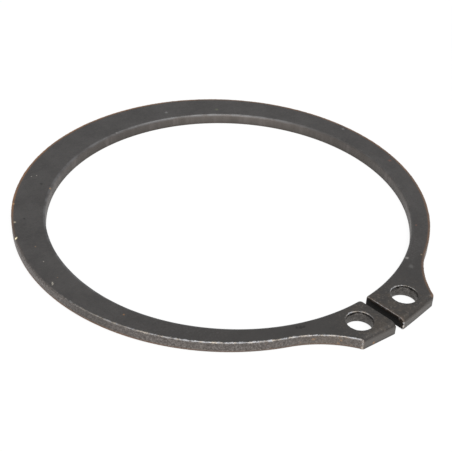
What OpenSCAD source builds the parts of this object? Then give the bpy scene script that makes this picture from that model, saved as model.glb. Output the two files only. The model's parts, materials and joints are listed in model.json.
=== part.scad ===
// External circlip: an open ring of spring steel, stamped in one piece from strip.
// The ring lies flat with its lower face on Z = 0. The bore's axis is +Z and the lugs face -Y.
// Its outline is blanked upwards, so that edge is sharp above and rolled below. The bore and the lugs'
// outer ends are cut downwards, so those edges are rolled above.

/* [Band] */
// Bore of the free ring, before it is sprung onto its shaft
bore_d = 47; // [40:0.1:56]
// Thickness of the strip
strip_t = 1.5; // [1.2:0.05:2.5]
// Radial width of the band at the back, opposite the lugs
back_w = 4.9; // [3.5:0.05:6.5]
// Radial width that the band tapers to in the middle of the lugs
front_w = 2.1; // [1.4:0.05:2.8]

/* [Lugs] */
// Radial height of the lugs over the bore, in their middle
lug_h = 5.75; // [5.3:0.05:7]
// Width over both lugs, at the height of the plier holes
lugs_w = 15.5; // [13.8:0.1:18]
// Radius of the hollow flank that runs each lug into the band
flank_r = 14; // [10:0.5:22]
// Slope of the left lug's outer end, back from the middle
left_end_slope = 8; // [0:0.5:10]
// Slope of the right lug's outer end, back from the middle
right_end_slope = 4.5; // [0:0.5:10]
// How far back from a lug's outer corner its rounding starts
corner_back = 0.25; // [0.1:0.05:0.6]

/* [Plier holes] */
// Diameter of each hole
hole_d = 3.2; // [2:0.1:3.6]
// Distance between the two holes' axes
hole_pitch = 7.55; // [7:0.05:8.2]
// How far the pair of holes sits off the middle of the lugs
hole_offset = -0.3; // [-0.4:0.05:0.4]
// Radial distance of the holes' axes from the bore's wall
hole_in = 2.9; // [2.4:0.05:3.1]
// Turn of the pair of holes against the lugs, with the right hole outwards
hole_turn = 2.5; // [-4:0.5:4]
// Depth of the break-out that flares each hole's upper rim
flare_d = 0.35; // [0.1:0.05:0.6]
// Radial width of that flare
flare_w = 0.08; // [0.02:0.01:0.2]

/* [Slit] */
// Width of the slit between the lugs
slit_w = 1.1; // [0.8:0.05:2]
// How far the slit's middle sits off the middle of the lugs, at the height of the plier holes
slit_offset = -0.7; // [-0.8:0.05:0.4]
// Lean of the slit to the side, outwards
slit_lean = 0.5; // [-2:0.5:2]
// How far back from the slit's outer corners their rounding starts
slit_corner_back = 0.2; // [0.05:0.05:0.35]
// How far back from the corners between the slit and the bore their rounding starts
slit_mouth_back = 0.35; // [0.1:0.05:0.5]

/* [Rolled edges] */
// Width of the roll on the bore's upper edge, over the face
bore_roll_w = 0.3; // [0.1:0.05:0.6]
// Depth of that roll, down the wall
bore_roll_d = 0.35; // [0.1:0.05:0.7]
// Width of the roll on the upper edge of each lug's outer end, over the face
end_roll_w = 0.7; // [0.2:0.05:0.9]
// Depth of that roll, down the wall
end_roll_d = 0.45; // [0.1:0.05:0.7]
// Width of the roll on the outline's lower edge, over the face
outer_roll_w = 0.2; // [0.1:0.05:0.5]
// Height of that roll, up the wall
outer_roll_h = 0.2; // [0.1:0.05:0.6]

/* [Hidden] */
$fn = 180;

// How far a cutting shape runs past the faces that it leaves through
past = 0.4;
// How far a rounding's cutting shape reaches under the surface that it leaves
under = 0.05;
// How far a flank's arc runs into the band, so that the two cross at a slight angle
flank_lap = 0.02;
// Radius of a rounding over its chord: a quarter turn has 0.707, and a flatter arc leaves a soft line
round_ratio = 0.85;

bore_r = bore_d / 2;
// The outline is a circle whose centre lies off the bore's axis, away from the lugs
outer_r = bore_r + (back_w + front_w) / 2;
outer_c = [0, (back_w - front_w) / 2];

hole_r = hole_d / 2;
hole_circle_r = bore_r + hole_in;
hole_y = -sqrt(pow(hole_circle_r, 2) - pow(hole_pitch / 2, 2));

// Each flank's circle touches the outline's circle and passes the lugs' width at the holes
flank_point = [lugs_w / 2, hole_y];
flank_c_dist = outer_r + flank_r;
flank_point_dist = norm(flank_point - outer_c);
flank_turn = atan2(flank_point[0], outer_c[1] - flank_point[1])
    + acos((pow(flank_point_dist, 2) + pow(flank_c_dist, 2) - pow(flank_r, 2))
        / (2 * flank_point_dist * flank_c_dist));
flank_c = outer_c + (flank_c_dist - flank_lap) * [sin(flank_turn), -cos(flank_turn)];

// The point where the lines through the two lugs' outer ends cross
lug_tip = [0, -bore_r - lug_h];

function unit(v) = v / norm(v);
function on_side(p, side) = [side * p[0], p[1]];

// Along a lug's outer end, away from the slit. A side is 1 for the right lug and -1 for the left.
function end_slope(side) = side > 0 ? right_end_slope : left_end_slope;
function end_dir(side) = [side * cos(end_slope(side)), sin(end_slope(side))];

// Where a lug's outer end meets its flank
function lug_corner(side) =
    let (
        to_c = on_side(flank_c, side) - lug_tip,
        along = to_c * end_dir(side)
    )
    lug_tip + (along - sqrt(pow(along, 2) - to_c * to_c + pow(flank_r, 2))) * end_dir(side);

// Along a flank at the lug's outer corner, towards the band
function flank_dir(side) =
    let (spoke = unit(lug_corner(side) - on_side(flank_c, side)))
    side * [spoke[1], -spoke[0]];

// The slit's direction outwards and its middle
slit_dir = [sin(slit_lean), -cos(slit_lean)];
slit_c = [slit_offset, hole_y];

// A point on the line through a lug's outer end, a distance off from the slit's middle towards that lug
function end_by_slit(side, off) =
    let (
        across = side * [-slit_dir[1], slit_dir[0]],
        start = slit_c + off * across - lug_tip,
        end_out = side * [end_dir(side)[1], -end_dir(side)[0]]
    )
    lug_tip + start - (start * end_out) / (slit_dir * end_out) * slit_dir;
function slit_corner(side) = end_by_slit(side, slit_w / 2);

// Where one of the slit's edges meets the bore, and the chord along the bore from there, away from the slit
function slit_mouth(side) =
    let (
        across = side * [-slit_dir[1], slit_dir[0]],
        start = slit_c + slit_w / 2 * across,
        along = start * slit_dir
    )
    start - (along - sqrt(pow(along, 2) - start * start + pow(bore_r, 2))) * slit_dir;
function bore_dir(side) =
    let (
        out = unit(slit_mouth(side)),
        half_turn = asin(slit_mouth_back / bore_d)
    )
    side * cos(half_turn) * [-out[1], out[0]] - sin(half_turn) * out;

// What a rounding takes off the convex corner k of an outline. The outline's two edges leave k along
// the unit vectors a and b, and the rounding starts back_a along the one and back_b along the other.
module corner_cut(k, a, b, back_a, back_b) {
    out_a = -unit(b - (a * b) * a);
    out_b = -unit(a - (a * b) * b);
    on_a = k + back_a * a;
    on_b = k + back_b * b;
    chord = on_b - on_a;
    arc_r = round_ratio * norm(chord);
    across = unit([-chord[1], chord[0]]);
    inward = across * (on_a - k) > 0 ? across : -across;
    arc_c = (on_a + on_b) / 2 + sqrt(pow(arc_r, 2) - pow(norm(chord) / 2, 2)) * inward;
    difference() {
        polygon([
            on_a - under * out_a,
            on_a + past * out_a,
            k - past * unit(a + b),
            on_b + past * out_b,
            on_b - under * out_b
        ]);
        translate(arc_c) circle(arc_r);
    }
}

// Both lugs with their flanks, before the slit is cut
module lugs() {
    difference() {
        linear_extrude(strip_t) polygon([
            outer_c,
            flank_c,
            lug_corner(1) + past * end_dir(1),
            end_by_slit(1, 0),
            end_by_slit(-1, 0),
            lug_corner(-1) + past * end_dir(-1),
            on_side(flank_c, -1)
        ]);
        for (side = [-1, 1]) translate(on_side(flank_c, side)) {
            translate([0, 0, -past]) cylinder(r = flank_r, h = strip_t + 2 * past);
            rotate_extrude() corner_cut([flank_r, 0], [1, 0], [0, 1], outer_roll_w, outer_roll_h);
        }
    }
}

// The blank: a round plate that the bore makes into the tapered band, with the lugs
module blank() {
    difference() {
        translate(outer_c) cylinder(r = outer_r, h = strip_t);
        translate(outer_c) rotate_extrude()
            corner_cut([outer_r, 0], [-1, 0], [0, 1], outer_roll_w, outer_roll_h);
    }
    lugs();
}

module bore() {
    translate([0, 0, -past]) cylinder(r = bore_r, h = strip_t + 2 * past);
}

// The slit, from inside the bore to past the lugs' ends
module slit() {
    inside = hole_in + 2 * past;
    outside = lug_h - hole_in + 2 * past;
    translate(slit_c) rotate(slit_lean) translate([-slit_w / 2, -outside, -past])
        cube([slit_w, inside + outside, strip_t + 2 * past]);
}

// One plier hole, with the flare that the break-out leaves at its upper rim
module plier_hole() {
    flare_per_depth = flare_w / flare_d;
    translate([0, 0, -past]) cylinder(r = hole_r, h = strip_t + 2 * past);
    translate([0, 0, strip_t - flare_d])
        cylinder(r1 = hole_r, r2 = hole_r + flare_per_depth * (flare_d + past), h = flare_d + past);
}

// The roll on the bore's upper edge
module bore_roll() {
    rotate_extrude()
        corner_cut([bore_r, strip_t], [1, 0], [0, -1], bore_roll_w, bore_roll_d);
}

// The rolls on the upper edges of the lugs' outer ends
module end_rolls() {
    for (side = [-1, 1]) {
        start = end_by_slit(side, 0);
        length = norm(lug_corner(side) - start) + past;
        translate(start) rotate(side * end_slope(side)) rotate([90, 0, 90])
            translate([0, 0, side < 0 ? -length : 0]) linear_extrude(length)
                corner_cut([0, strip_t], [1, 0], [0, -1], end_roll_w, end_roll_d);
    }
}

// Upright roundings at the lugs' outer corners and at both ends of the slit
module upright_corners() {
    translate([0, 0, -past]) linear_extrude(strip_t + 2 * past)
        for (side = [-1, 1]) {
            corner_cut(lug_corner(side), -end_dir(side), flank_dir(side), corner_back, corner_back);
            corner_cut(slit_corner(side), end_dir(side), -slit_dir, slit_corner_back, slit_corner_back);
            corner_cut(slit_mouth(side), slit_dir, bore_dir(side), slit_mouth_back, slit_mouth_back);
        }
}

module circlip() {
    color([0.3, 0.295, 0.29]) difference() {
        blank();
        bore();
        slit();
        translate([hole_offset, hole_y, 0]) rotate(-hole_turn)
            for (side = [-1, 1]) translate([side * hole_pitch / 2, 0, 0]) plier_hole();
        bore_roll();
        end_rolls();
        upright_corners();
    }
}

circlip();
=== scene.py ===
import json
import math

import bpy
import numpy as np
from mathutils import Euler, Matrix, Vector
from mathutils.kdtree import KDTree


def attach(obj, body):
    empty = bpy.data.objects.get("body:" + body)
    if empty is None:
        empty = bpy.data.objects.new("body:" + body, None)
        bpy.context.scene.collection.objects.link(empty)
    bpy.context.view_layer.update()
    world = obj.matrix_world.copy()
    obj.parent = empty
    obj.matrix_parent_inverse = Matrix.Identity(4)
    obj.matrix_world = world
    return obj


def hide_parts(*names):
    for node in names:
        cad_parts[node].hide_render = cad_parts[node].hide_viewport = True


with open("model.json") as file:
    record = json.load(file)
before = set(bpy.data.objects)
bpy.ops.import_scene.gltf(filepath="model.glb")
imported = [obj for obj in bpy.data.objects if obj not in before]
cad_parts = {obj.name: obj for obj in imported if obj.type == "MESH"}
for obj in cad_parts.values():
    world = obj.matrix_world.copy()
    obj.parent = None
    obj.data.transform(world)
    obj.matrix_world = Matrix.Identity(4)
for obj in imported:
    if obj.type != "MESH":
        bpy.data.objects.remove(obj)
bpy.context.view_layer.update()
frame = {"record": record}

# The stamped ring
# One piece of spring-steel strip, pressed flat. Its outline is blanked upwards, which leaves a sharp ragged
# edge above and a small roll below. The bore and the lugs' ends are cut downwards, so they roll above.

# Its sizes are in millimetres, and the finished mesh is scaled to metres
mm_per_m = 1000
mounts = {mount["name"]: mount for mount in frame["record"]["mounts"]}
bore_r = mounts["shaft_seat"]["dims"]["r_mm"]
strip_t = mm_per_m * mounts["upper_face"]["pos_m"][2]
back_w = 4.9
front_w = 2.1
outer_r = bore_r + (back_w + front_w) / 2
outer_c = np.array([0.0, (back_w - front_w) / 2])
hole_r = mounts["plier_hole_left"]["dims"]["r_mm"]
holes = [mm_per_m * np.array(mounts[name]["pos_m"][:2]) for name in ("plier_hole_left", "plier_hole_right")]
holes_y = sum(hole[1] for hole in holes) / len(holes)
lug_h = 5.75
lug_tip = np.array([0.0, -bore_r - lug_h])
lugs_half_w = 7.75
flank_r = 14.0
end_slopes = {1: 4.5, -1: 8.0}
corner_back = 0.25
slit_half_w = 0.55
slit_offset = -0.7
slit_c = np.array([slit_offset, holes_y])
slit_lean = math.radians(0.5)
slit_corner_back = 0.2
slit_mouth_back = 0.35

# How finely the outline is divided
point_gap = 0.085
band_count = 1240
slit_shares = np.linspace(0, 1, 8)
corner_shares = np.arange(1, 10) / 10

# Each flank's circle touches the outline's circle and passes the lugs' width at the holes
to_flank = np.array([lugs_half_w, holes_y]) - outer_c
reach = np.linalg.norm(to_flank)
span = outer_r + flank_r
flank_turn = math.atan2(to_flank[0], -to_flank[1]) + math.acos(
    (reach ** 2 + span ** 2 - flank_r ** 2) / (2 * reach * span))
flank_c = outer_c + span * np.array([math.sin(flank_turn), -math.cos(flank_turn)])
slit_dir = np.array([math.sin(slit_lean), -math.cos(slit_lean)])
slit_across = np.array([-slit_dir[1], slit_dir[0]])


def end_dir(side):
    """Along a lug's outer end, away from the slit: side is 1 for the right lug and -1 for the left."""
    slope = math.radians(end_slopes[side])
    return np.array([side * math.cos(slope), math.sin(slope)])


def end_out(side):
    """Straight out of a lug's outer end."""
    along = side * end_dir(side)
    return np.array([along[1], -along[0]])


def slit_ends(side):
    """Where the slit's wall on one lug meets the bore and that lug's outer end."""
    start = slit_c + side * slit_half_w * slit_across
    at_end = start + slit_dir * ((lug_tip - start) @ end_out(side)) / (slit_dir @ end_out(side))
    along = start @ slit_dir
    at_bore = start - slit_dir * (along - math.sqrt(along ** 2 - start @ start + bore_r ** 2))
    return at_bore, at_end


def rounding(start, corner, end, shares):
    """Points on a round corner, at shares of the way from its start to its end."""
    s = shares[:, None]
    return (1 - s) ** 2 * start + 2 * s * (1 - s) * corner + s ** 2 * end


def wrapped(turn):
    """A turn brought to between minus and plus half a turn."""
    return (turn + math.pi) % (2 * math.pi) - math.pi


def lug_outline(side):
    """A lug's outline from the slit to the band, how far each point is on its end, and the slit's mouth."""
    centre = flank_c * [side, 1]
    along = end_dir(side)
    at_bore, at_end = slit_ends(side)
    to_c = centre - lug_tip
    run = to_c @ along
    corner = lug_tip + along * (run - math.sqrt(run ** 2 - to_c @ to_c + flank_r ** 2))
    corner_turn = math.atan2(*(corner - centre)[::-1])
    sweep = wrapped(math.atan2(*(outer_c - centre)[::-1]) - corner_turn)
    flank_shares = np.linspace(corner_back / flank_r / abs(sweep), 1, int(abs(sweep) * flank_r / point_gap))
    turns = corner_turn + sweep * flank_shares
    flank = centre + flank_r * np.stack([np.cos(turns), np.sin(turns)], 1)
    end_from = at_end + along * slit_corner_back
    end_to = corner - along * corner_back
    end_run = end_to - end_from
    end = end_from + np.linspace(0, 1, int(np.linalg.norm(end_run) / point_gap))[:, None] * end_run
    points = np.concatenate([
        rounding(at_end - slit_dir * slit_corner_back, at_end, end_from, slit_shares[:-1]),
        end,
        rounding(end_to, corner, flank[0], corner_shares),
        flank])
    on_end = np.concatenate([
        np.ones(len(slit_shares) - 1 + len(end)),
        1 - corner_shares,
        np.zeros(len(flank))])
    bore_turn = math.atan2(at_bore[1], at_bore[0]) + side * slit_mouth_back / bore_r
    on_bore = bore_r * np.array([math.cos(bore_turn), math.sin(bore_turn)])
    mouth = rounding(at_bore + slit_dir * slit_mouth_back, at_bore, on_bore, slit_shares)
    return points, on_end, mouth


right_points, right_end, right_mouth = lug_outline(1)
left_points, left_end, left_mouth = lug_outline(-1)
band_turns = np.linspace(flank_turn - math.pi / 2, 1.5 * math.pi - flank_turn, band_count)[1:-1]
band_points = outer_c + outer_r * np.stack([np.cos(band_turns), np.sin(band_turns)], 1)
rim = np.concatenate([right_points, band_points, left_points[::-1]])
on_end = np.concatenate([right_end, np.zeros(len(band_points)), left_end[::-1]])
sections = len(rim)
walk = np.concatenate([[0], np.cumsum(np.linalg.norm(np.diff(rim, axis=0), axis=1))])

# A section runs from the bore to the rim. By the slit it lies along the slit's wall, and over this length
# along the rim it turns until it is radial.
lean_reach = 12
rim_turn = np.unwrap(np.arctan2(rim[:, 1], rim[:, 0]))
seat_turn = rim_turn.copy()
tangent = np.gradient(rim, axis=0)
outward = np.stack([tangent[:, 1], -tangent[:, 0]], 1) / np.linalg.norm(tangent, axis=1)[:, None]
last = len(slit_shares) - 1
for side, mouth, far, first in ((1, right_mouth, walk - walk[last], last),
                                (-1, left_mouth, walk[-1 - last] - walk, sections - 1 - last)):
    lean = wrapped(math.atan2(mouth[-1][1], mouth[-1][0]) - rim_turn[first])
    seat_turn += lean * np.clip(1 - np.abs(far) / lean_reach, 0, 1) ** 2
    outward[np.abs(np.arange(sections) - first) <= last] = end_out(side)
seat = bore_r * np.stack([np.cos(seat_turn), np.sin(seat_turn)], 1)
seat[:last + 1] = right_mouth
seat[-last - 1:] = left_mouth[::-1]
width = np.linalg.norm(rim - seat, axis=1)
across = (rim - seat) / width[:, None]

# Bearings are in degrees from +X: about -90 at the slit, 0 at the right, 90 at the back and 180 at the left
bearing = np.degrees(rim_turn)

# How squarely a section meets the rim: a slanting section takes a roll that much wider
least_square = 0.5
square = np.clip(np.einsum("ij,ij->i", across, outward), least_square, 1)


def ragged(at, step, seed):
    """An uneven line from -1 to 1 along a length, with a new value at each step."""
    values = np.random.default_rng(seed).uniform(-1, 1, int(at.max() / step) + 3)
    return np.interp(at / step, np.arange(len(values)), values)


# How much each edge rolls, from section to section. The outline is sharp above, but worn soft at the left,
# where the bore rolls less. The right lug's end rolls deeper towards its corner, and below by the slit.
edge_break = 0.03
soft_w = 0.3
soft_d = 0.45
full_roll_w = 0.3
full_roll_d = 0.35
small_roll_w = 0.12
small_roll_d = 0.15
end_roll_w = 0.7
end_roll_d = 0.45
corner_roll_d = 0.2
outer_roll = 0.2
slit_roll = 0.12
slit_roll_reach = 2.5
right_lug = bearing < -70
right_corner = int(np.argmax(on_end < 0.5))
soft = np.interp(bearing, [138, 156, 174, 190], [0, 1, 1, 0])
less_roll = np.interp(bearing, [138, 156, 176, 198], [0, 1, 1, 0])
sharp = (1 - on_end) * (1 - soft)
bore_roll_w = full_roll_w - (full_roll_w - small_roll_w) * less_roll + 0.012 * ragged(walk, step=2.5, seed=3)
bore_roll_d = full_roll_d - (full_roll_d - small_roll_d) * less_roll + 0.015 * ragged(walk, step=2.0, seed=4)
end_share = np.clip(walk / walk[right_corner], 0, 1) * right_lug
top_roll_w = (edge_break + soft_w * soft + (end_roll_w - edge_break) * on_end) / square
top_roll_d = edge_break + soft_d * soft + (end_roll_d - edge_break + corner_roll_d * end_share ** 2) * on_end
by_slit = right_lug * np.clip(1 - walk / slit_roll_reach, 0, 1)
low_roll_h = outer_roll - (outer_roll - edge_break) * on_end + slit_roll * on_end * by_slit
low_roll_w = low_roll_h / square
burr = 0.01 + 0.012 * ragged(walk, step=0.35, seed=5) + 0.01 * ragged(walk, step=0.13, seed=6)
burr = np.clip(burr, 0, 1) * sharp
nibble = (0.012 * ragged(walk, step=0.3, seed=7) + 0.01 * ragged(walk, step=0.12, seed=8)) * sharp

# The section's line: up the bore, over its roll, across the face, down the outer wall, and back below
bore_steps = 4
roll_steps = 6
wall_steps = 9
low_steps = 4
end_roll_cut = 0.6
quarter = math.pi / 2
loop_x, loop_z = [], []


def to_loop(x, z):
    """Adds one point to every section's line."""
    loop_x.append(np.broadcast_to(x, sections).astype(float))
    loop_z.append(np.broadcast_to(z, sections).astype(float))


for k in range(bore_steps + 1):
    to_loop(0.0, edge_break + (strip_t - bore_roll_d - edge_break) * k / bore_steps)
for k in range(1, roll_steps + 1):
    turn = quarter * k / roll_steps
    to_loop(bore_roll_w * (1 - math.cos(turn)), strip_t - bore_roll_d * (1 - math.sin(turn)))
face = width - bore_roll_w - top_roll_w
for share in (0.03, 0.12, 0.3, 0.5, 0.7, 0.88, 0.97):
    to_loop(bore_roll_w + face * share, strip_t)
top_turn = quarter - end_roll_cut * on_end
for k in range(roll_steps + 1):
    turn = top_turn * k / roll_steps
    rise = burr * math.sin(math.pi * (k + 1) / (roll_steps + 2))
    to_loop(width - top_roll_w * (1 - np.sin(turn) / np.sin(top_turn)) + nibble / square,
            strip_t - top_roll_d * (1 - np.cos(turn)) / (1 - np.cos(top_turn)) + rise)
wall_h = strip_t - top_roll_d - low_roll_h
for k in range(1, wall_steps):
    share = k / wall_steps
    streak = 0.005 * ragged(walk, step=0.16, seed=11) + 0.006 * ragged(walk, step=0.11, seed=20 + k)
    uneven = streak * math.sin(math.pi * share) + nibble * (1 - share)
    to_loop(width + (1 - on_end) * uneven / square, strip_t - top_roll_d - wall_h * share)
for k in range(low_steps + 1):
    turn = quarter * k / low_steps
    to_loop(width - low_roll_w * (1 - math.cos(turn)), low_roll_h * (1 - math.sin(turn)))
for share in (0.97, 0.8, 0.5, 0.2, 0.03, 0.0):
    to_loop(edge_break + (width - low_roll_w - edge_break) * share, 0.0)
loop_x, loop_z = np.array(loop_x), np.array(loop_z)
loop_n = len(loop_x)

# The slit's upper edge is soft on the left lug and just broken on the right lug, whose lower edge is rounded
upper_half = (0, 1)
lower_half = (-1, 0)
for far, drop, soft_reach, half in ((walk[-1] - walk, 0.1, 0.25, upper_half), (walk, 0.05, 0.1, upper_half),
                                    (walk, 0.3, 0.3, lower_half)):
    fall = drop * (1 - np.sqrt(1 - np.clip(1 - far / soft_reach, 0, 1) ** 2))
    loop_z -= fall * np.clip(2 * loop_z / strip_t - 1, *half)


def vectors(items, name):
    """A vector of each of a mesh's points or faces, one to a row."""
    values = np.empty(len(items) * 3)
    items.foreach_get(name, values)
    return values.reshape(-1, 3)


# A ring of round section is spun round the bore's axis, and each section then takes the stamped form
spin_r = 25
spin_angle = math.radians(357)
bpy.ops.object.select_all(action="DESELECT")
bpy.ops.mesh.primitive_circle_add(
    vertices=loop_n, radius=1, location=(spin_r, 0, 0), rotation=(quarter, 0, 0))
ring = bpy.context.object
ring.name = "stamped_ring"
bpy.ops.object.transform_apply(location=True, rotation=True, scale=True)
screw = ring.modifiers.new("turn", "SCREW")
screw.axis = "Z"
screw.angle = spin_angle
screw.steps = screw.render_steps = sections - 1
screw.use_smooth_shade = False
bpy.ops.object.modifier_apply(modifier=screw.name)
spun = vectors(ring.data.vertices, "co")
half_open = math.pi - spin_angle / 2
turned = (np.arctan2(spun[:, 1], spun[:, 0]) + half_open) % (2 * math.pi) - half_open
at_section = np.rint(turned / spin_angle * (sections - 1)).astype(int)
round_turn = np.arctan2(spun[:, 2], np.hypot(spun[:, 0], spun[:, 1]) - spin_r)
at_loop = np.rint(-round_turn / (2 * math.pi) * loop_n).astype(int) % loop_n
in_plan = seat[at_section] + across[at_section] * loop_x[at_loop, at_section][:, None]
shaped = np.column_stack([in_plan, loop_z[at_loop, at_section]])
ring.data.vertices.foreach_set("co", shaped.ravel())
ring.data.update()

# The slit's two walls close its ends
bpy.ops.object.mode_set(mode="EDIT")
bpy.ops.mesh.select_all(action="DESELECT")
bpy.ops.mesh.select_mode(type="EDGE")
bpy.ops.mesh.select_non_manifold(extend=False, use_wire=False, use_boundary=True, use_multi_face=False,
                                 use_non_contiguous=False, use_verts=False)
bpy.ops.mesh.edge_face_add()
bpy.ops.mesh.select_all(action="SELECT")
bpy.ops.mesh.normals_make_consistent(inside=False)
bpy.ops.object.mode_set(mode="OBJECT")

# The plier holes are punched upwards. The punch rolls the edge where it enters below, and tears the last
# part of the wall, so the rim above stands ragged over a torn hollow. The wall between is clean.
# Each ring of the punch has its height and how much wider than the hole it is.
clean_rings = ((-0.01, 0.085), (0.03, 0.045), (0.08, 0.015), (0.14, 0.0), (1.06, 0.0))
torn_rings = ((1.12, 0.015), (1.18, 0.06), (1.3, 0.07), (1.4, 0.06), (1.44, 0.025), (1.5, 0.02), (1.9, 0.02))
tear_depth = 0.02
tear_height = 0.035
torn_rim = 0.07
same_level = 0.001
punch_points = 132
punch_below = 0.4
tools = []


def plier_hole(place, seed):
    """One punch as a stack of rings, ragged from the torn hollow upwards."""
    level, radius = -punch_below, hole_r + clean_rings[0][1]
    bpy.ops.object.select_all(action="DESELECT")
    bpy.ops.mesh.primitive_circle_add(
        vertices=punch_points, radius=radius, fill_type="NGON", location=(*place, level))
    punch = bpy.context.object
    bpy.ops.object.transform_apply(location=True, rotation=True, scale=True)
    bpy.ops.object.mode_set(mode="EDIT")
    bpy.ops.mesh.select_all(action="SELECT")
    for z, wider in clean_rings + torn_rings:
        bpy.ops.mesh.extrude_region_move(TRANSFORM_OT_translate={"value": (0, 0, z - level)})
        grow = (hole_r + wider) / radius
        bpy.ops.transform.resize(value=(grow, grow, 1))
        level, radius = z, hole_r + wider
    bpy.ops.mesh.select_all(action="SELECT")
    bpy.ops.mesh.normals_make_consistent(inside=False)
    bpy.ops.object.mode_set(mode="OBJECT")
    spots = vectors(punch.data.vertices, "co")
    off = spots[:, :2] - place
    spoke = off / np.linalg.norm(off, axis=1)[:, None]
    turn = np.arctan2(off[:, 1], off[:, 0]) + math.pi
    for k, (z, _) in enumerate(torn_rings, 1):
        here = np.abs(spots[:, 2] - z) < same_level
        tear = tear_depth * ragged(turn, step=0.13, seed=seed + k)
        spots[here, :2] += (spoke * tear[:, None])[here]
        if z < strip_t - torn_rim:
            spots[here, 2] += tear_height * ragged(turn, step=0.3, seed=seed + 50)[here]
    punch.data.vertices.foreach_set("co", spots.ravel())
    tools.append(punch)


for seed, hole in zip((100, 200), holes):
    plier_hole(hole, seed)

# Two knocks from handling: a chip out of the outer edge and a short nick in the face
for place, size, turn in (((-24.72, 12.03, 1.5), (0.3, 0.16, 0.13), 2.68),
                          ((-26.4, 1.96, 1.53), (0.1, 0.4, 0.09), -0.703)):
    bpy.ops.object.select_all(action="DESELECT")
    bpy.ops.mesh.primitive_ico_sphere_add(
        subdivisions=3, radius=1, location=place, rotation=(0, 0, turn), scale=size)
    tools.append(bpy.context.object)

# All of these are cut out at once, and the slivers that the cut leaves are merged away
merge_gap = 0.002
least_edge = 0.001
bpy.ops.object.select_all(action="DESELECT")
for tool in tools:
    tool.select_set(True)
bpy.context.view_layer.objects.active = tools[0]
bpy.ops.object.join()
cut = ring.modifiers.new("cut", "BOOLEAN")
cut.object = tools[0]
cut.operation = "DIFFERENCE"
cut.solver = "MANIFOLD"
bpy.context.view_layer.objects.active = ring
bpy.ops.object.modifier_apply(modifier=cut.name)
bpy.data.objects.remove(tools[0])
bpy.ops.object.select_all(action="DESELECT")
ring.select_set(True)
bpy.ops.object.mode_set(mode="EDIT")
bpy.ops.mesh.select_all(action="SELECT")
bpy.ops.mesh.quads_convert_to_tris()
bpy.ops.mesh.remove_doubles(threshold=merge_gap)
bpy.ops.mesh.dissolve_degenerate(threshold=least_edge)
bpy.ops.object.mode_set(mode="OBJECT")

# Where the edges are rubbed bright or brown, and where painted highlights run along them: each point's gap
# to the nearest edge, and how that edge is rubbed or highlighted
edge_points, edge_rubs_and_highlights, edge_browns = [], [], []


def rubbed_and_highlit_edge(points, rubs_and_highlights, browns):
    """Adds an edge by its points, with how bright it is from rubbing and painted highlight and how brown it
    is rubbed, at each or all over.
    """
    edge_points.extend(points)
    edge_rubs_and_highlights.extend(np.broadcast_to(rubs_and_highlights, len(points)))
    edge_browns.extend(np.broadcast_to(browns, len(points)))


# The outline, by bearing: rubbed bright from the front to the left lug, with a painted highlight along the
# soft left edge, brown at the back and below in front
low_edge_z = 0.06
outline = on_end < 0.6
outline_rub_and_highlight = np.interp(bearing, [60, 100, 150, 160, 178, 195, 210, 222],
                        [0.15, 0.05, 0.05, 0.2, 0.25, 0.45, 0.75, 1])
outline_brown = np.interp(bearing, [-70, -55, 10, 50, 90, 140, 154, 165],
                          [0.4, 0.45, 0.6, 0.55, 0.9, 0.8, 0.1, 0])
low_brown = np.interp(bearing, [140, 200, 225], [0.6, 0.5, 0.2])
front_side = outline & (bearing > 140)
rubbed_and_highlit_edge([(x, y, strip_t) for x, y in rim[outline]], outline_rub_and_highlight[outline], outline_brown[outline])
rubbed_and_highlit_edge([(x, y, low_edge_z) for x, y in rim[front_side]], 0.0, low_brown[front_side])

# The back of each hole's torn rim: its bright burr, made brightest on the side facing the light as a painted
# highlight
rim_r = hole_r + tear_depth
turns = np.linspace(-math.pi, math.pi, 160)
hole_rim_rub_and_highlight = np.interp(np.degrees(turns), [-30, 15, 95, 130, 180], [0, 1, 1, 0.2, 0])
for x, y in holes:
    rubbed_and_highlit_edge([(x + rim_r * math.cos(t), y + rim_r * math.sin(t), strip_t) for t in turns], hole_rim_rub_and_highlight, 0.0)

# The slit's edge on the right lug, rubbed bright, and painted highlights down two upright corners
slit_edge = np.linspace(*slit_ends(1), 60)
rubbed_and_highlit_edge([(x, y, strip_t) for x, y in slit_edge], 0.6, 0.12)
slit_corner = rim[last // 2]
left_corner = rim[sections - 1 - int(np.argmax(left_end < 0.5))]
for corner, low, high, corner_highlight in ((slit_corner, 0.1, 0.55, 1.0), (slit_corner, 1.0, 1.1, 1.0),
                               (left_corner, 0.1, 1.4, 0.9)):
    rubbed_and_highlit_edge([(*corner, z) for z in np.linspace(low, high, 20)], corner_highlight, 0.1)
edge_tree = KDTree(len(edge_points))
for k, point in enumerate(edge_points):
    edge_tree.insert(point, k)
edge_tree.balance()
nearest = [edge_tree.find(vertex.co) for vertex in ring.data.vertices]
for name, values in (("edge_gap", [min(gap, 1.0) for spot, k, gap in nearest]),
                     ("edge_rub_and_highlight", [edge_rubs_and_highlights[k] for spot, k, gap in nearest]),
                     ("edge_brown", [edge_browns[k] for spot, k, gap in nearest])):
    ring.data.attributes.new(name, "FLOAT", "POINT").data.foreach_set("value", values)

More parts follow.
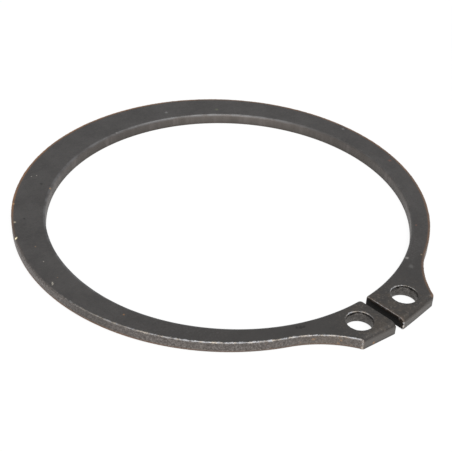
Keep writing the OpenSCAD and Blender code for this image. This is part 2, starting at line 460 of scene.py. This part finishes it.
# Which cut each wall comes from, kept with the faces
hole_wall_w = 0.12
slit_wall_w = 0.06
end_wall_w = 0.15
end_roll_reach = 0.8
past_slit = 1.5
upright = 0.8
middle = vectors(ring.data.polygons, "center")
facing = vectors(ring.data.polygons, "normal")
wall = np.interp(np.abs(facing[:, 2]), [0.38, 0.93], [1, 0])
hole_gap = np.min([np.hypot(middle[:, 0] - x, middle[:, 1] - y) for x, y in holes], axis=0)
in_hole = hole_gap < hole_r + hole_wall_w
off_slit = np.abs((middle[:, :2] - slit_c) @ slit_across)
in_slit = (np.abs(off_slit - slit_half_w) < slit_wall_w) & (np.abs(facing[:, 0]) > upright)
in_slit &= middle[:, 1] < -bore_r + 1
in_bore = (np.hypot(middle[:, 0], middle[:, 1]) < bore_r + full_roll_w + 0.01) & ~(in_slit | in_hole)
in_end = np.zeros(len(middle), bool)
on_roll = np.zeros(len(middle), bool)
for side in (1, -1):
    by_lug = middle[:, 0] * side > -past_slit
    end_gap = np.abs((middle[:, :2] - lug_tip) @ end_out(side))
    in_end |= by_lug & (end_gap < end_wall_w) & (facing[:, :2] @ end_out(side) > upright)
    on_roll |= by_lug & (end_gap < end_roll_reach) & (facing[:, 2] > 0.35)
in_end &= ~(in_slit | in_hole)
on_roll &= ~(in_slit | in_hole | in_bore | in_end)
in_outline = ~(in_hole | in_slit | in_bore | in_end | on_roll)
for zone, faces in (("hole_wall", in_hole), ("slit_wall", in_slit), ("bore_wall", in_bore),
                    ("end_wall", in_end), ("end_roll", on_roll), ("outer_wall", in_outline)):
    ring.data.attributes.new(zone, "FLOAT", "FACE").data.foreach_set("value", wall * faces)

smooth_angle = math.radians(28)
ring.data.transform(Matrix.Scale(1 / mm_per_m, 4))
bpy.ops.object.select_all(action="DESELECT")
ring.select_set(True)
bpy.context.view_layer.objects.active = ring
bpy.ops.object.shade_smooth_by_angle(angle=smooth_angle)

# Its finish: dark grey phosphate, matte on the faces. The cut walls show lighter steel with a fine grain,
# the punched rims are torn, and the sharp edges are rubbed through to bright steel or brown. Painted shade
# darkens the bore's wall, the slit and the holes' torn hollows, and painted highlights run along the bore's
# roll, the holes' back rims and some edges and corners.
steel = bpy.data.materials.new("phosphated_steel")
steel.use_nodes = True
nodes, links = steel.node_tree.nodes, steel.node_tree.links


def add_node(kind, settings=None, **inputs):
    """A node with its settings. Its inputs are set or linked, and in_ is followed by an input's index."""
    node = nodes.new(kind)
    for name, value in (settings or {}).items():
        setattr(node, name, value)
    for name, value in inputs.items():
        socket = node.inputs[int(name[3:]) if name.startswith("in_") else name.replace("_", " ")]
        if isinstance(value, bpy.types.NodeSocket):
            links.new(value, socket)
        else:
            socket.default_value = value
    return node


def combined(kind, first, second):
    """Two values joined by arithmetic, and held between 0 and 1."""
    settings = {"operation": kind, "use_clamp": True}
    return add_node("ShaderNodeMath", settings, in_0=first, in_1=second).outputs[0]


def product(first, *others):
    """Shares multiplied together."""
    for other in others:
        first = combined("MULTIPLY", first, other)
    return first


def vector_math(kind, first, second=(0, 0, 0)):
    """Two vectors joined by arithmetic: a product is a vector, and a measure is a value."""
    node = add_node("ShaderNodeVectorMath", {"operation": kind}, in_0=first, in_1=second)
    return node.outputs["Vector" if kind == "MULTIPLY" else "Value"]


def mixed(share, first, second):
    """From one colour to another by a share. A colour is a socket, or red, green and blue."""
    first, second = ((*colour, 1) if isinstance(colour, tuple) else colour for colour in (first, second))
    return add_node("ShaderNodeMix", {"data_type": "RGBA"}, in_0=share, in_6=first, in_7=second).outputs[2]


def tinted(under, tint, *shares):
    """A tint laid over a colour, as strongly as all its shares together let it."""
    return mixed(product(*shares), under, tint)


def scaled(value, low, high, to_low=0.0, to_high=1.0):
    """A value stretched from one range to another and held there."""
    node = add_node("ShaderNodeMapRange", {"interpolation_type": "SMOOTHSTEP"}, Value=value,
                    From_Min=low, From_Max=high, To_Min=to_low, To_Max=to_high)
    return node.outputs[0]


def scaled_mm(length, low, high, to_low=0.0, to_high=1.0):
    """A length on the ring, stretched from a range in millimetres."""
    return scaled(length, low / mm_per_m, high / mm_per_m, to_low, to_high)


def noise(vector, scale, detail=4.0, rough=0.55):
    """Cloudy noise, with its scale in marks per millimetre."""
    node = add_node("ShaderNodeTexNoise", None, Vector=vector, Scale=scale * mm_per_m, Detail=detail,
                    Roughness=rough)
    return node.outputs["Fac"]


def mesh_value(name):
    """A value that the ring's mesh carries."""
    return add_node("ShaderNodeAttribute", {"attribute_name": name}).outputs["Fac"]


# A speck's mask: 1 at its centre, fading out unevenly at its reach
speck = bpy.data.node_groups.new("Speck", "ShaderNodeTree")
for name, way, kind in (("Position", "INPUT", "NodeSocketVector"), ("Centre", "INPUT", "NodeSocketVector"),
                        ("Reach", "INPUT", "NodeSocketFloat"), ("Mask", "OUTPUT", "NodeSocketFloat")):
    speck.interface.new_socket(name=name, in_out=way, socket_type=kind)
nodes, links = speck.nodes, speck.links
given = add_node("NodeGroupInput").outputs
share = vector_math("DISTANCE", given["Position"], given["Centre"])
for divisor in (given["Reach"], scaled(noise(given["Position"], 4.0, 2), 0.3, 0.7, 0.55, 1.25)):
    share = add_node("ShaderNodeMath", {"operation": "DIVIDE"}, in_0=share, in_1=divisor).outputs[0]
add_node("NodeGroupOutput", None, Mask=scaled(share, 1.0, 0.4))

nodes, links = steel.node_tree.nodes, steel.node_tree.links
place = add_node("ShaderNodeTexCoord").outputs["Object"]
axes = add_node("ShaderNodeSeparateXYZ", None, Vector=place).outputs
height = axes["Z"]


def spot_mask(x, y, z, spot_reach):
    """A speck's mask at a place in millimetres."""
    node = add_node("ShaderNodeGroup", {"node_tree": speck}, Position=place, Reach=spot_reach / mm_per_m)
    node.inputs["Centre"].default_value = (x / mm_per_m, y / mm_per_m, z / mm_per_m)
    return node.outputs[0]


# The faces: phosphate with faint clouds, a grain that is coarser on the lugs, and worn brown flecks there
clouds = noise(place, 0.3, 5)
mottle = noise(place, 2.0, 4, 0.7)
grain = noise(place, 5.0, 3)
fine = noise(place, 8.0, 2)
lug_share = spot_mask(-0.4, -28.0, strip_t, 8.5)
colour = mixed(scaled(clouds, 0.3, 0.7), (0.052, 0.0497, 0.0485), (0.07, 0.0668, 0.065))
colour = tinted(colour, (0.088, 0.08, 0.073), scaled(mottle, 0.38, 0.68), scaled(lug_share, 0, 1, 0.3, 1))
colour = tinted(colour, (0.032, 0.03, 0.0285), scaled(grain, 0.5, 0.75), scaled(lug_share, 0, 1, 0.25, 1))
colour = tinted(colour, (0.036, 0.0335, 0.031), spot_mask(-9, -30, strip_t, 36), 0.52)
colour = tinted(colour, (0.026, 0.024, 0.022), lug_share, 0.22)
brown_patches = scaled(noise(place, 0.9, 4, 0.65), 0.4, 0.62)
colour = tinted(colour, (0.075, 0.062, 0.049), lug_share, brown_patches, 0.5)
worn_flecks = scaled(noise(place, 3.5, 3, 0.6), 0.54, 0.68, 0.0, 0.75)
colour = tinted(colour, (0.115, 0.1, 0.086), lug_share, worn_flecks)

# The bore's wall: brownish steel with upright streaks from the cut, with painted shade that darkens it below
# and towards both sides of the view
sideways = vector_math("DOT_PRODUCT", place, (0.711, -0.703, 0))
far_sideways = add_node("ShaderNodeMath", {"operation": "ABSOLUTE"}, in_0=sideways).outputs[0]
streaks = noise(vector_math("MULTIPLY", place, (1, 1, 0.12)), 0.8, 4, 0.65)
# Painted shade: darker low on the wall and lighter towards its top
bore_colour = mixed(scaled_mm(height, 0.2, 1.3), (0.088, 0.078, 0.07), (0.118, 0.103, 0.093))
bore_colour = tinted(bore_colour, (0.07, 0.062, 0.056), scaled(mottle, 0.4, 0.75, 0.0, 0.25))
# Painted shade: darker towards both sides of the view, where the wall turns away from the camera
bore_colour = tinted(bore_colour, (0.05, 0.045, 0.042), scaled_mm(far_sideways, 4, 16, 0.0, 0.5))
bore_colour = tinted(bore_colour, (0.165, 0.146, 0.138), scaled(streaks, 0.48, 0.7, 0.0, 0.35))
bore_colour = tinted(bore_colour, (0.062, 0.053, 0.046), scaled(streaks, 0.5, 0.34, 0.0, 0.3))
# Painted shade: darker and browner at the foot of the wall
bore_colour = tinted(bore_colour, (0.055, 0.045, 0.037), scaled_mm(height, 0.45, 0.1, 0.0, 0.5))
colour = tinted(colour, bore_colour, mesh_value("bore_wall"))

# A painted highlight: a paler line along its roll, weaker at the back and at the right
radius = vector_math("LENGTH", vector_math("MULTIPLY", place, (1, 1, 0)))
bore_roll_highlight = product(scaled_mm(radius, bore_r + 0.41, bore_r + 0.12), scaled_mm(height, 1.1, 1.4))
broken_line = scaled(noise(place, 0.6, 3), 0.35, 0.6, 0.3, 1.0)
weak_back = scaled_mm(axes["Y"], -12, 4, 1.0, 0.6)
weak_right = scaled_mm(sideways, 5, 14, 1.0, 0.2)
# Painted highlight along the bore's roll
colour = tinted(colour, (0.15, 0.15, 0.153), bore_roll_highlight, broken_line, weak_back, weak_right)

# The outer wall: grainy sheared steel, with rust by the left lug, darker at the left, and brown low down
outer_share = mesh_value("outer_wall")
shear_grain = scaled(noise(place, 4.2, 4, 0.7), 0.34, 0.66)
outer_colour = mixed(shear_grain, (0.06, 0.052, 0.047), (0.15, 0.132, 0.122))
outer_colour = tinted(outer_colour, (0.29, 0.275, 0.26), scaled(fine, 0.56, 0.7, 0.0, 0.7))
outer_colour = tinted(outer_colour, (0.125, 0.1, 0.078), spot_mask(-9.3, -26.2, strip_t / 2, 4.5), 0.4)
rust = product(spot_mask(-10.5, -25.8, strip_t / 2, 7.0), scaled(noise(place, 1.7, 2), 0.6, 0.68))
outer_colour = tinted(outer_colour, (0.32, 0.19, 0.1), rust, 0.45)
outer_colour = tinted(outer_colour, (0.045, 0.041, 0.038), spot_mask(-26.2, -4.5, strip_t / 2, 6.0), 0.35)
outer_colour = tinted(outer_colour, (0.085, 0.055, 0.036), scaled_mm(height, 0.3, 0.08, 0.0, 0.7))
colour = tinted(colour, outer_colour, outer_share)

# The lugs' ends and the roll above them, the slit's walls painted near black as shade, and the holes with
# their torn rims, painted dark as shadow in the torn hollow
end_colour = mixed(scaled_mm(height, 0.1, 0.35), (0.05, 0.045, 0.041), (0.093, 0.085, 0.078))
end_colour = tinted(end_colour, (0.12, 0.11, 0.1), scaled(grain, 0.4, 0.8, 0.0, 0.3))
colour = tinted(colour, end_colour, mesh_value("end_wall"))
colour = tinted(colour, (0.035, 0.03, 0.026), mesh_value("end_roll"), 0.45)
slit_share = mesh_value("slit_wall")
# Painted shade: the slit's walls near black, as the narrow slit lies in shadow
colour = tinted(colour, mixed(grain, (0.006, 0.0055, 0.005), (0.014, 0.013, 0.012)), slit_share)
hole_share = mesh_value("hole_wall")
hole_colour = mixed(scaled(mottle, 0.35, 0.65), (0.055, 0.05, 0.046), (0.125, 0.115, 0.106))
colour = tinted(colour, hole_colour, hole_share)
# Painted shadow: the torn hollow under each hole's rim is coloured near black
tear_line = add_node("ShaderNodeMath", {"operation": "MULTIPLY_ADD"}, in_0=noise(place, 1.5, 3, 0.6),
                     in_1=0.6 / mm_per_m, in_2=height).outputs[0]
torn = product(hole_share, scaled_mm(tear_line, 1.46, 1.5))
colour = tinted(colour, (0.009, 0.008, 0.0072), torn, 0.85)

# The rubbed edges: a brown fringe, and over it a flecked line of bright steel, which is partly painted
# highlight
edge_gap_mm = mesh_value("edge_gap")
uneven_fringe = scaled(noise(place, 0.5, 2), 0.3, 0.6, 0.6, 1.0)
fringe = product(scaled(edge_gap_mm, 0.4, 0.12), mesh_value("edge_brown"), uneven_fringe)
colour = tinted(colour, (0.25, 0.13, 0.065), fringe)
flecks = combined("ADD", product(noise(place, 2.4, 4, 0.8), 0.6), product(fine, 0.3))
edge_line = scaled(combined("ADD", edge_gap_mm, flecks), 0.62, 0.44)
uneven_line = scaled(noise(place, 0.7, 2), 0.35, 0.6, 0.65, 1.0)
bright_steel_and_highlight = mixed(scaled(noise(place, 1.6, 2), 0.4, 0.6), (0.55, 0.49, 0.42), (0.52, 0.525, 0.54))
colour = tinted(colour, bright_steel_and_highlight, edge_line, mesh_value("edge_rub_and_highlight"), uneven_line)

# Specks of dirt and rust, and the small marks on the face: place, reach and tint
speck_share = 0.85
dark = (0.025, 0.024, 0.023)
grey = (0.16, 0.155, 0.15)
pale = (0.3, 0.28, 0.25)
straw = (0.4, 0.38, 0.33)
yellow = (0.8, 0.72, 0.5)
brown = (0.2, 0.14, 0.09)
for x, y, z, spot_reach, tint in (
        (-24.96, 12.3, 1.45, 0.36, yellow),
        (-24.72, 12.08, 1.48, 0.34, yellow),
        (-26.56, 1.77, 1.48, 0.15, straw),
        (-26.4, 1.96, 1.48, 0.16, (0.46, 0.43, 0.37)),
        (-26.25, 2.13, 1.48, 0.15, straw),
        (-26.6, 2.15, 1.48, 0.15, dark),
        (-22.92, 14.88, 1.5, 0.2, (0.45, 0.4, 0.3)),
        (-23.82, 9.07, 1.5, 0.14, brown),
        (-24.79, 6.03, 1.5, 0.13, pale),
        (-25.31, 2.48, 1.5, 0.11, brown),
        (-14.76, 21.84, 1.5, 0.14, pale),
        (-15.4, 22.07, 1.5, 0.12, pale),
        (-15.14, 18.2, 1.48, 0.26, (0.28, 0.19, 0.12)),
        (-20.81, 18.3, 1.5, 0.2, (0.5, 0.32, 0.16)),
        (-15.42, 19.81, 1.5, 0.3, dark),
        (-21.57, 14.73, 1.5, 0.22, dark),
        (15.49, -18.47, 1.5, 0.2, (0.17, 0.09, 0.07)),
        (0.27, 23.7, 1.5, 0.2, grey),
        (9.43, 23.46, 1.5, 0.34, (0.17, 0.168, 0.165)),
        (15.73, 19.4, 1.5, 0.34, (0.115, 0.125, 0.085)),
        (26.13, 3.5, 1.5, 0.36, (0.15, 0.148, 0.145)),
        (24.77, -6.39, 1.5, 0.36, (0.14, 0.075, 0.06)),
        (-23.58, -7.69, 1.5, 0.18, (0.25, 0.13, 0.06)),
        (11.11, -22.81, 1.5, 0.18, (0.26, 0.2, 0.13)),
        (9.2, -22.05, 1.5, 0.34, (0.24, 0.23, 0.22)),
        (8.3, -23.45, 1.5, 0.5, (0.1, 0.097, 0.093)),
        (-10.3, -22.05, 1.5, 0.3, dark),
        (-9.95, -22.3, 1.5, 0.36, dark),
        (-9.62, -22.5, 1.5, 0.32, dark),
        (-4.56, -28.63, 0.3, 0.2, (0.3, 0.16, 0.07))):
    colour = tinted(colour, tint, spot_mask(x, y, z, spot_reach), speck_share)

shader = nodes["Principled BSDF"]
metal = combined("MAXIMUM", 0.6, combined("MAXIMUM", slit_share, torn))
rough = combined("ADD", scaled(grain, 0.2, 0.8, 0.44, 0.58), product(fringe, 0.4))
relief = combined("ADD", product(grain, 0.4), product(fine, outer_share, 0.6))
bump = add_node("ShaderNodeBump", None, Strength=0.35, Distance=0.03 / mm_per_m, Height=relief).outputs[0]
for name, value in (("Base Color", colour), ("Metallic", metal), ("Roughness", rough), ("Normal", bump)):
    links.new(value, shader.inputs[name])

ring.data.materials.clear()
ring.data.materials.append(steel)
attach(ring, "root")
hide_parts("circlip")

# The table that it lies on
# A plain white sheet that runs out of view. The camera and the steel's reflections see it white, and a
# share of its own matte surface keeps the ring's soft shadow.
floor_size = 4
floor_z = -0.00002
white_share = 0.9
bpy.ops.object.select_all(action="DESELECT")
bpy.ops.mesh.primitive_plane_add(size=floor_size, location=(0, 0, floor_z))
floor = bpy.context.object
floor.name = "floor"
paper = bpy.data.materials.new("white_paper")
paper.use_nodes = True
nodes, links = paper.node_tree.nodes, paper.node_tree.links
nodes.remove(nodes["Principled BSDF"])
rays = add_node("ShaderNodeLightPath").outputs
seen = combined("MAXIMUM", rays["Is Camera Ray"], rays["Is Glossy Ray"])
seen = combined("MAXIMUM", seen, rays["Is Transmission Ray"])
matte = add_node("ShaderNodeBsdfDiffuse", None, Color=(0.9, 0.9, 0.9, 1)).outputs[0]
glow = add_node("ShaderNodeEmission", None, Color=(1, 1, 1, 1), Strength=1.0).outputs[0]
blend = add_node("ShaderNodeMixShader", None, in_0=product(seen, white_share), in_1=matte, in_2=glow)
links.new(blend.outputs[0], nodes["Material Output"].inputs["Surface"])
floor.data.materials.append(paper)

# Soft studio light: an even grey room, one broad softbox overhead and one in front
world = bpy.data.worlds.new("studio")
bpy.context.scene.world = world
world.use_nodes = True
nodes, links = world.node_tree.nodes, world.node_tree.links
room = mixed(add_node("ShaderNodeLightPath").outputs["Is Camera Ray"], (0.6, 0.6, 0.61), (1.0, 1.0, 1.0))
links.new(room, nodes["Background"].inputs["Color"])


def toward(turn, height):
    """The direction at a turn round +Z and at a height over the floor, both angles."""
    return Vector((math.cos(turn) * math.cos(height), math.sin(turn) * math.cos(height), math.sin(height)))


for name, lamp_turn, lamp_height, distance, size, power in (
        ("overhead_softbox", -100, 70, 0.6, 0.5, 3.0), ("front_softbox", -135, 24, 0.7, 0.5, 2.5)):
    lamp_place = distance * toward(math.radians(lamp_turn), math.radians(lamp_height))
    bpy.ops.object.light_add(type="AREA", location=lamp_place)
    lamp = bpy.context.object
    lamp.name = name
    lamp.rotation_euler = lamp_place.to_track_quat("Z", "Y").to_euler()
    lamp.data.shape = "DISK"
    lamp.data.size = size
    lamp.data.energy = power
bpy.context.scene.view_settings.view_transform = "Standard"

# The camera looks down on the ring from the side of its lugs, a little tilted
camera_turn = math.radians(-134.7)
camera_height = math.radians(36.239)
camera_roll = math.radians(2.599)
camera_distance = 0.136967
aim = Vector((-0.000747, -0.000374, -0.00108))
bpy.ops.object.camera_add()
camera = bpy.context.object
level = Euler((quarter - camera_height, 0, camera_turn + quarter)).to_matrix()
tilted = level @ Matrix.Rotation(camera_roll, 3, "Z")
camera_place = aim + camera_distance * toward(camera_turn, camera_height)
camera.matrix_world = Matrix.Translation(camera_place) @ tilted.to_4x4()
camera.data.sensor_width = 36
camera.data.lens = 83.63
camera.data.clip_start = 0.01
bpy.context.scene.camera = camera
